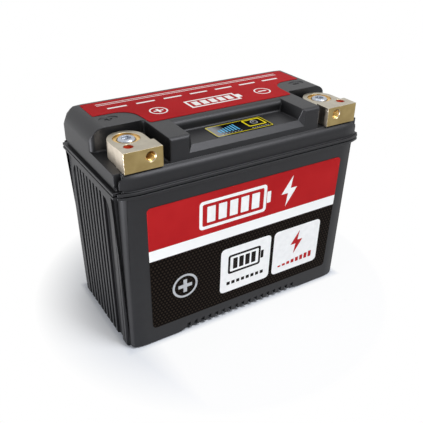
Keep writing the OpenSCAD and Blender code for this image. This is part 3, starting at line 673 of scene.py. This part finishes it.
def reshape_end(vert):
    """Moves a point of an end of the case to its new place, if it has one."""
    x, y, z = vert.co / MM
    if abs(x) < GROOVE_X - END_NEAR or z > FLANGE_Z + NEAR:
        return
    if RECESS_BEND < z < RECESS_TOP + NEAR:
        lift = RECESS_LIFT * (z - RECESS_BEND) / (RECESS_TOP - RECESS_BEND)
        vert.co.z += lift * MM
        vert.co.x += math.copysign(END_LEAN * lift / FLANGE_Z, x) * MM
    slim = slim_rib(y)
    if slim is not None:
        vert.co.y = slim * MM
    elif -RECESS_SIDE < y < 0:
        vert.co.y += RECESS_LEAN * max(0.0, z) / RECESS_BEND * MM
    elif abs(x) > panel_face(z) - END_NEAR or z < FOOT_R and abs(x) > GROOVE_X:
        vert.co.y = math.copysign(slim_line(abs(y), max(0.0, z)), y) * MM


def fill_outline(z):
    """Plan of the block that fills the CAD groove behind a corner."""
    back = GROOVE_X - FILL_DEEP
    face = max(panel_face(z) - CORNER_BACK - foot_inset(z), GROOVE_X + FILL_LEAST)
    low = RECESS_SIDE + FILL_PAST
    high = long_wall(z) - FILL_SHORT
    return [(back, low), (face, low), (face, high), (back, high)]


def waste_outline(z):
    """Plan of what is cut off outside a corner: a quarter of an ellipse, then the upright groove."""
    face = panel_face(z) - foot_inset(z)
    side = panel_side(z)
    wall = long_wall(z) + CUT_OFF - foot_inset(z)
    reach = face - CORNER_BACK - CORNER_X
    drop = wall - side - SLIM_GROOVE
    turns = [math.pi / 2 * i / CORNER_STEPS for i in range(CORNER_STEPS + 1)]
    curve = [(CORNER_X + reach * math.sin(a), wall - drop * (1 - math.cos(a))) for a in turns]
    groove = [(face - GROOVE_BACK, side + SLIM_GROOVE), (face - GROOVE_BACK, side), (CLEAR, side)]
    return [(CORNER_X, CLEAR)] + curve + groove + [(CLEAR, CLEAR)]


def corner_tool(name, outline, levels):
    """A solid at each of the four corners, in one object that only shapes the case."""
    mesh = bmesh.new()
    for side_x in (-1, 1):
        for side_y in (-1, 1):
            rings = []
            for z in levels:
                rings.append([(side_x * x * MM, side_y * y * MM, z * MM) for x, y in outline(z)])
            loft_into(mesh, rings)
    bmesh.ops.recalc_face_normals(mesh, faces=mesh.faces)
    return built(name, mesh)


def case_shell():
    mesh = joined_copy("case")
    for vert in mesh.verts:
        reshape_end(vert)
    made = moulding("case_shell", mesh)
    levels = FOOT_LEVELS + (CUT_HIGH,)
    tools = [("UNION", corner_tool("corner_fill", fill_outline, levels)),
             ("DIFFERENCE", corner_tool("corner_waste", waste_outline, (CUT_LOW,) + levels))]
    for operation, tool in tools:
        shape = made.modifiers.new(tool.name, "BOOLEAN")
        shape.operation = operation
        shape.object = tool
        shape.solver = "EXACT"
    state = bpy.context.evaluated_depsgraph_get()
    shaped = bpy.data.meshes.new_from_object(made.evaluated_get(state))
    made.modifiers.clear()
    made.data = shaped
    for _, tool in tools:
        bpy.data.objects.remove(tool)
    stand_in(made, "case")


# Lid: the CAD form with rounder back corners of the crown

# Ball that cuts the corners of the CAD lid, and the ellipsoid to which they swell, in millimetres
BALL_MID = Vector((40.0, 10.0, 97.2))
BALL_R = 53.4
SWELL_MID = Vector((71.9, 31.5, 120.75))
SWELL_R = (9.0, 9.6, 9.0)


def swell_corner(vert):
    """Moves a point of the ball out to the ellipsoid, where that lies further out."""
    point = vert.co / MM
    side = math.copysign(1, point.x)
    point.x = abs(point.x)
    off = point - SWELL_MID
    if min(off) < 0 or abs((point - BALL_MID).length - BALL_R) > NEAR:
        return
    reach = math.sqrt(sum((part / radius) ** 2 for part, radius in zip(off, SWELL_R)))
    if reach < 1:
        point = SWELL_MID + off / reach
        vert.co = Vector((side * point.x, point.y, point.z)) * MM


def lid_shell():
    mesh = joined_copy("lid")
    for vert in mesh.verts:
        swell_corner(vert)
    stand_in(moulding("lid_shell", mesh), "lid")


case_shell()
lid_shell()


# Outlines in millimetres

def arc(centre_x, centre_y, radius, start, end, steps):
    turns = [math.radians(start + (end - start) * i / steps) for i in range(steps + 1)]
    return [(centre_x + radius * math.cos(a), centre_y + radius * math.sin(a)) for a in turns]


def circle(centre_x, centre_y, radius, steps=40):
    return arc(centre_x, centre_y, radius, 0, 360, steps)[:-1]


def round_box(centre_x, centre_y, half_x, half_y, radius, steps=6):
    corners = ((1, 1, 0), (-1, 1, 90), (-1, -1, 180), (1, -1, 270))
    points = []
    for side_x, side_y, start in corners:
        corner_x = centre_x + side_x * (half_x - radius)
        corner_y = centre_y + side_y * (half_y - radius)
        points += arc(corner_x, corner_y, radius, start, start + 90, steps)
    return points


def plus_sign(centre_x, centre_y, reach, half):
    outline = ((reach, -half), (reach, half), (half, half), (half, reach),
               (-half, reach), (-half, half), (-reach, half), (-reach, -half),
               (-half, -half), (-half, -reach), (half, -reach), (half, -half))
    return [(centre_x + x, centre_y + y) for x, y in outline]


def bolt_sign(centre_x, centre_y, half_w, half_h):
    outline = ((0.30, 1.0), (-0.80, -0.12), (-0.12, -0.12), (-0.30, -1.0), (0.80, 0.18), (0.12, 0.18))
    return [(centre_x + half_w * x, centre_y + half_h * y) for x, y in outline]


# Parts of a cell symbol's half height: its corner radii and the half height of its pole
CELL_R = 0.24
CELL_R_IN = 0.12
CELL_POLE_HIGH = 0.42
# Parts of its line: how far out the pole stands, its half width and its corner radius
CELL_POLE_OUT = 0.9
CELL_POLE_WIDE = 0.7
CELL_POLE_R = 0.3
# Half a charge bar as a part of the pitch, and its corner radius in millimetres
CELL_BAR = 0.36
CELL_BAR_R = 0.4


def cell_symbol(centre_x, centre_y, half_w, half_h, line, bars):
    """Plates and frames of a cell symbol: an outline with a pole and charge bars."""
    frames = [(round_box(centre_x, centre_y, half_w, half_h, CELL_R * half_h),
               round_box(centre_x, centre_y, half_w - line, half_h - line, CELL_R_IN * half_h))]
    pole_x = centre_x + half_w + line * CELL_POLE_OUT
    plates = [round_box(pole_x, centre_y, line * CELL_POLE_WIDE, half_h * CELL_POLE_HIGH,
                        line * CELL_POLE_R)]
    pitch = 2 * (half_w - 2 * line) / bars
    for x in centred(bars, pitch):
        plates.append(round_box(centre_x + x, centre_y, pitch * CELL_BAR, half_h - 2 * line, CELL_BAR_R))
    return plates, frames


# Printed and raised pieces

INK_T = 0.02 * MM


def plate_into(mesh, outline, height):
    """Adds a closed plate of the outline, from the carrying face up to a height."""
    ring = [mesh.verts.new((x * MM, y * MM, 0)) for x, y in outline]
    base = mesh.faces.new(ring)
    lifted = bmesh.ops.extrude_face_region(mesh, geom=[base])
    tops = [v for v in lifted["geom"] if isinstance(v, bmesh.types.BMVert)]
    bmesh.ops.translate(mesh, verts=tops, vec=(0, 0, height))


def frame_into(mesh, outer, inner, height):
    """Adds a closed band between two outlines with the same number of points."""
    rings = []
    for z in (0, height):
        for outline in (outer, inner):
            rings.append([mesh.verts.new((x * MM, y * MM, z)) for x, y in outline])
    low_out, low_in, high_out, high_in = rings
    count = len(outer)
    for i in range(count):
        j = (i + 1) % count
        mesh.faces.new((low_out[i], low_out[j], high_out[j], high_out[i]))
        mesh.faces.new((low_in[j], low_in[i], high_in[i], high_in[j]))
        mesh.faces.new((high_out[i], high_out[j], high_in[j], high_in[i]))
        mesh.faces.new((low_out[j], low_out[i], low_in[i], low_in[j]))


def piece(name, mesh, place, material, body=BODY):
    """Turns a mesh into a named piece that rides on a body."""
    bmesh.ops.recalc_face_normals(mesh, faces=mesh.faces)
    mesh.transform(place)
    made = built(name, mesh, material)
    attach(made, body)


def print_piece(name, place, material, plates=(), frames=(), height=INK_T, body=BODY):
    """A piece of flat plates and frames on a carrying face."""
    mesh = bmesh.new()
    for outline in plates:
        plate_into(mesh, outline, height)
    for outer, inner in frames:
        frame_into(mesh, outer, inner, height)
    piece(name, mesh, place, material, body)


# Motifs on the front label: a cell symbol and a bolt on the red field, two cards and a pole sign below

LABEL_T = 0.25 * MM
# Places along the label and up from its foot, and sizes, in millimetres
SYMBOL_Y = 68.6
CELL_X = -12.0
CELL_HALF = (23.0, 9.2)
CELL_LINE = 2.0
CELL_BARS = 5
BOLT_X = 28.0
BOLT_HALF = (7.2, 10.2)
CARD_Y = 24.0
CELL_CARD_X = -1.0
BOLT_CARD_X = 38.5
CARD_HALF = (18.5, 16.5)
CARD_R = 3.0
CARD_SIGN_UP = 4.0
CARD_CELL_IN = 1.2
CARD_CELL_HALF = (12.0, 7.0)
CARD_CELL_LINE = 1.5
CARD_CELL_BARS = 4
CARD_BOLT_HALF = (6.0, 8.6)
STEPS = 8
STEP_PITCH = 3.6
STEP_HALF = 1.2
STEP_R = 0.2
STEP_DOWN = 10.0
STAIR_FOOT = 11.8
STAIR_HALF = 0.6
STAIR_RISE = 0.25
RING_X = -44.0
RING_R = 8.4
RING_LINE = 1.4
RING_ARM = 4.6
RING_ARM_HALF = 1.2


def front_place():
    """Frame on the face of the front label: x along it, y up it from its foot, z out of it."""
    low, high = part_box("front_label")
    lean = math.atan2(high.y - low.y - LABEL_T, high.z - low.z)
    foot = ((low.x + high.x) / 2, high.y - LABEL_T, low.z)
    return Matrix.Translation(foot) @ Matrix.Rotation(math.pi / 2 + lean, 4, "X")


def red_field_motif(place):
    plates, frames = cell_symbol(CELL_X, SYMBOL_Y, *CELL_HALF, CELL_LINE, CELL_BARS)
    plates.append(bolt_sign(BOLT_X, SYMBOL_Y, *BOLT_HALF))
    print_piece("front_symbol", place, white_ink, plates, frames)


def card_motifs(place):
    cards = [round_box(x, CARD_Y, *CARD_HALF, CARD_R) for x in (CELL_CARD_X, BOLT_CARD_X)]
    print_piece("front_cards", place, white_ink, cards)

    over_card = place @ Matrix.Translation((0, 0, INK_T))
    sign_y = CARD_Y + CARD_SIGN_UP
    plates, frames = cell_symbol(CELL_CARD_X - CARD_CELL_IN, sign_y, *CARD_CELL_HALF, CARD_CELL_LINE,
                                 CARD_CELL_BARS)
    for x in centred(STEPS, STEP_PITCH):
        plates.append(round_box(CELL_CARD_X + x, CARD_Y - STEP_DOWN, STEP_HALF, STEP_HALF, STEP_R))
    print_piece("card_cell", over_card, dark_ink, plates, frames)

    plates = [bolt_sign(BOLT_CARD_X, sign_y, *CARD_BOLT_HALF)]
    for i, x in enumerate(centred(STEPS, STEP_PITCH)):
        half = STAIR_HALF + STAIR_RISE * i
        plates.append(round_box(BOLT_CARD_X + x, CARD_Y - STAIR_FOOT + half, STEP_HALF, half, STEP_R))
    print_piece("card_bolt", over_card, red_ink, plates)


def front_pole(place):
    plates = [plus_sign(RING_X, CARD_Y, RING_ARM, RING_ARM_HALF)]
    frames = [(circle(RING_X, CARD_Y, RING_R), circle(RING_X, CARD_Y, RING_R - RING_LINE))]
    print_piece("front_pole", place, pale_ink, plates, frames)


# Display: border, charge bars, ticks and the outlined test key

# Places on the lid and sizes in millimetres
BORDER_OUT = 0.15
BORDER_IN = 0.6
BORDER_R = 0.9
BORDER_R_IN = 0.6
BARS = 7
BAR_X = -14.2
BAR_PITCH = 1.98
BAR_FRONT = -31.3
BAR_HALF = 0.46
BAR_REACH = 2.05
BAR_RISE = 0.35
BAR_R = 0.15
TICK_Y = -33.1
TICK_HALF_Y = 0.3
TICK_R = 0.1
BAR_TICK_HALF = 0.5
KEY_TICKS = 8
KEY_TICK_X = 5.5
KEY_TICK_PITCH = 1.5
KEY_TICK_HALF = 0.45
ICON_R = 2.3
ICON_R_IN = 1.8
ICON_STEM_Y = 1.6
# Half sizes and corner radius of both sides of the key's outline, and of the stem of its sign
KEY_LINE_OUT = (6.1, 4.7, 1.0)
KEY_LINE_IN = (5.15, 3.75, 0.8)
ICON_STEM = (0.3, 1.5, 0.15)


def middle_of(low, high):
    """Middle of a box in plan, in millimetres."""
    return (low.x + high.x) / 2 / MM, (low.y + high.y) / 2 / MM


def display_border(face, low, high):
    x, y = middle_of(low, high)
    half_x = (high.x - low.x) / 2 / MM
    half_y = (high.y - low.y) / 2 / MM
    border = [(round_box(x, y, half_x - BORDER_OUT, half_y - BORDER_OUT, BORDER_R),
               round_box(x, y, half_x - BORDER_IN, half_y - BORDER_IN, BORDER_R_IN))]
    print_piece("display_border", face, yellow_ink, frames=border)


def display_signs(face):
    bars = []
    ticks = []
    for i in range(BARS):
        bar_x = BAR_X + BAR_PITCH * i
        reach = BAR_REACH + BAR_RISE * i
        bars.append(round_box(bar_x, BAR_FRONT + reach, BAR_HALF, reach, BAR_R))
        ticks.append(round_box(bar_x, TICK_Y, BAR_TICK_HALF, TICK_HALF_Y, TICK_R))
    for i in range(KEY_TICKS):
        tick_x = KEY_TICK_X + KEY_TICK_PITCH * i
        ticks.append(round_box(tick_x, TICK_Y, KEY_TICK_HALF, TICK_HALF_Y, TICK_R))
    print_piece("display_bars", face, cyan_ink, bars)
    print_piece("display_ticks", face, pale_ink, ticks)


def key_signs(face):
    """Outline on the film around the key, and the sign on the key itself."""
    low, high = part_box("test_button")
    x, y = middle_of(low, high)
    outline = [(round_box(x, y, *KEY_LINE_OUT), round_box(x, y, *KEY_LINE_IN))]
    print_piece("key_outline", face, yellow_ink, frames=outline)

    top = Matrix.Translation((0, 0, high.z))
    ring = [(circle(x, y, ICON_R), circle(x, y, ICON_R_IN))]
    stem = [round_box(x, y + ICON_STEM_Y, *ICON_STEM)]
    print_piece("key_icon", top, pale_ink, stem, ring, body=KEY_BODY)


def display():
    low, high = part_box("display_overlay")
    face = Matrix.Translation((0, 0, high.z))
    display_border(face, low, high)
    display_signs(face)
    key_signs(face)


# Raised pole signs in the oval recesses of the lid

OVAL_X = 65.2
OVAL_Y = 4.7
OVAL_FLOOR = 129.35 * MM
MARK_T = 0.3 * MM
MARK_ARM = 2.1
MARK_HALF = 0.45
MARK_R = 0.1


def pole_signs():
    place = Matrix.Translation((0, 0, OVAL_FLOOR))
    look = finishes["case_plastic"].material
    plus = plus_sign(-OVAL_X, OVAL_Y, MARK_ARM, MARK_HALF)
    minus = round_box(OVAL_X, OVAL_Y, MARK_ARM, MARK_HALF, MARK_R)
    print_piece("plus_mark", place, look, [plus], height=MARK_T)
    print_piece("minus_mark", place, look, [minus], height=MARK_T)


# Threads in the front bolt holes

THREAD_PITCH = 1.0 * MM
THREAD_DEPTH = 0.3 * MM
THREAD_STEPS = 32
# Half widths of the ridge at its foot and its crest, as parts of the pitch
THREAD_FOOT = 0.42
THREAD_CREST = 0.08


def thread(name, mount_name):
    """A helical ridge on the wall of a bolt hole, along the length of its mount."""
    mount = next(m for m in frame["record"]["mounts"] if m["name"] == mount_name)
    wall = mount["dims"]["r_mm"] * MM
    crest = wall - THREAD_DEPTH
    length = mount["dims"]["length_mm"] * MM - THREAD_PITCH
    count = int(length / THREAD_PITCH * THREAD_STEPS)
    profile = ((wall, -THREAD_FOOT), (crest, -THREAD_CREST), (crest, THREAD_CREST), (wall, THREAD_FOOT))
    rings = []
    for i in range(count + 1):
        turn = 2 * math.pi * i / THREAD_STEPS
        rise = length * (i / count - 0.5)
        ring = [(r * math.cos(turn), r * math.sin(turn), rise + t * THREAD_PITCH) for r, t in profile]
        rings.append(ring)
    mesh = bmesh.new()
    loft_into(mesh, rings)
    along = Vector(mount["axis"]).to_track_quat("Z", "Y").to_matrix().to_4x4()
    place = Matrix.Translation(mount["pos_m"]) @ along
    piece(name, mesh, place, finishes["post_brass"].material)


label_face = front_place()
red_field_motif(label_face)
card_motifs(label_face)
front_pole(label_face)
display()
pole_signs()
thread("positive_thread", "positive_front_bolt")
thread("negative_thread", "negative_front_bolt")


# Studio, in metres

FLOOR_HALF = 1.6
FLOOR_PARTS = 8
# Distances from the middle between which the floor turns white for the camera
WHITE_FROM = 0.074
WHITE_TO = 0.121
# Places along x between which the shadow at the left end fades, and the share of white right of them
FADE_LEFT = -0.085
FADE_RIGHT = -0.06
RIGHT_WHITE = 0.9
# Half sizes of the foot of the case, and the edge of the contact shadow around it
CONTACT_HALF_X = 0.0795
CONTACT_HALF_Y = 0.0385
CONTACT_FROM = -0.001
CONTACT_TO = 0.003
AMBIENT = 0.08


def seen_plainly(tree):
    """1 for rays from the camera, off gloss and through glass, 0 for rays of soft light."""
    ray = tree.nodes.new("ShaderNodeLightPath").outputs
    level = ray["Is Camera Ray"]
    for kind in ("Is Glossy Ray", "Is Transmission Ray"):
        top = tree.nodes.new("ShaderNodeMath")
        top.operation = "MAXIMUM"
        tree.links.new(level, top.inputs[0])
        tree.links.new(ray[kind], top.inputs[1])
        level = top.outputs[0]
    return level


def floor_white(look):
    """Share of plain white on the floor: none under the case, all of it far off."""
    across, depth, _ = look.axes()
    squares = [look.calc("POWER", value, 2.0) for value in (across, depth)]
    reach = look.calc("SQRT", look.calc("ADD", *squares))
    far = look.ramp(reach, WHITE_FROM, WHITE_TO)
    right = look.ramp(across, FADE_LEFT, FADE_RIGHT, 0.0, RIGHT_WHITE)
    offs = []
    for value, half in ((across, CONTACT_HALF_X), (depth, CONTACT_HALF_Y)):
        offs.append(look.calc("SUBTRACT", look.calc("ABSOLUTE", value), half))
    clear = look.ramp(look.calc("MAXIMUM", *offs), CONTACT_FROM, CONTACT_TO)
    return look.calc("MULTIPLY", look.calc("MAXIMUM", far, right), clear)


def floor():
    mesh = bmesh.new()
    bmesh.ops.create_grid(mesh, x_segments=FLOOR_PARTS, y_segments=FLOOR_PARTS, size=FLOOR_HALF)
    look = Finish("paper", roughness=0.9, specular=0.1)
    look.colour(srgb(238, 243, 252))
    glow = look.node("ShaderNodeEmission")
    blend = look.node("ShaderNodeMixShader")
    look.feed(blend.inputs[0], look.calc("MULTIPLY", floor_white(look), seen_plainly(look.tree)))
    look.feed(blend.inputs[1], look.bsdf.outputs[0])
    look.feed(blend.inputs[2], glow.outputs[0])
    look.feed(look.tree.nodes["Material Output"].inputs["Surface"], blend.outputs[0])
    made = built("floor", mesh, look.material)


def world():
    """White for the camera and for reflections, and a plain grey for soft light."""
    made = bpy.data.worlds.new("studio")
    bpy.context.scene.world = made
    made.use_nodes = True
    tree = made.node_tree
    back = tree.nodes["Background"]
    shade = tree.nodes.new("ShaderNodeMapRange")
    shade.inputs["To Min"].default_value = AMBIENT
    tree.links.new(seen_plainly(tree), shade.inputs["Value"])
    tree.links.new(shade.outputs[0], back.inputs["Strength"])
    back.inputs["Color"].default_value = (1, 1, 1, 1)


def aimed(name, data, position, aim):
    """Object of a lamp or a camera that looks from a position to an aim."""
    made = linked(name, data)
    made.location = position
    made.rotation_mode = "QUATERNION"
    made.rotation_quaternion = (Vector(aim) - Vector(position)).to_track_quat("-Z", "Y")
    return made


def lamp(name, position, aim, size, power):
    data = bpy.data.lights.new(name, "AREA")
    data.shape = "SQUARE"
    data.size = size
    data.energy = power
    aimed(name, data, position, aim)


# Camera: lens and sensor in millimetres, roll in degrees
LENS = 49.0
SENSOR = 36
CAMERA_AT = Vector((-172.8, -280.02, 242.48)) * MM
CAMERA_AIM = Vector((-22.95, -35.81, 78.75)) * MM
CAMERA_ROLL = 0.64
CLIP_START = 0.01


def camera():
    data = bpy.data.cameras.new("view")
    data.lens = LENS
    data.sensor_width = SENSOR
    data.clip_start = CLIP_START
    made = aimed("view", data, CAMERA_AT, CAMERA_AIM)
    roll = Quaternion((0, 0, 1), math.radians(CAMERA_ROLL))
    made.rotation_quaternion = made.rotation_quaternion @ roll
    bpy.context.scene.camera = made


floor()
world()
lamp("left", (-0.6, -0.12, 0.05), aim=(0, 0, 0.05), size=0.12, power=5.4)
lamp("front", (0.3, -0.5, 0.8), aim=(0, 0, 0.06), size=0.4, power=6.0)
lamp("above", (0.2, 0.1, 1.0), aim=(0, 0, 0.1), size=0.6, power=2.2)
camera()
bpy.context.scene.view_settings.view_transform = "Standard"
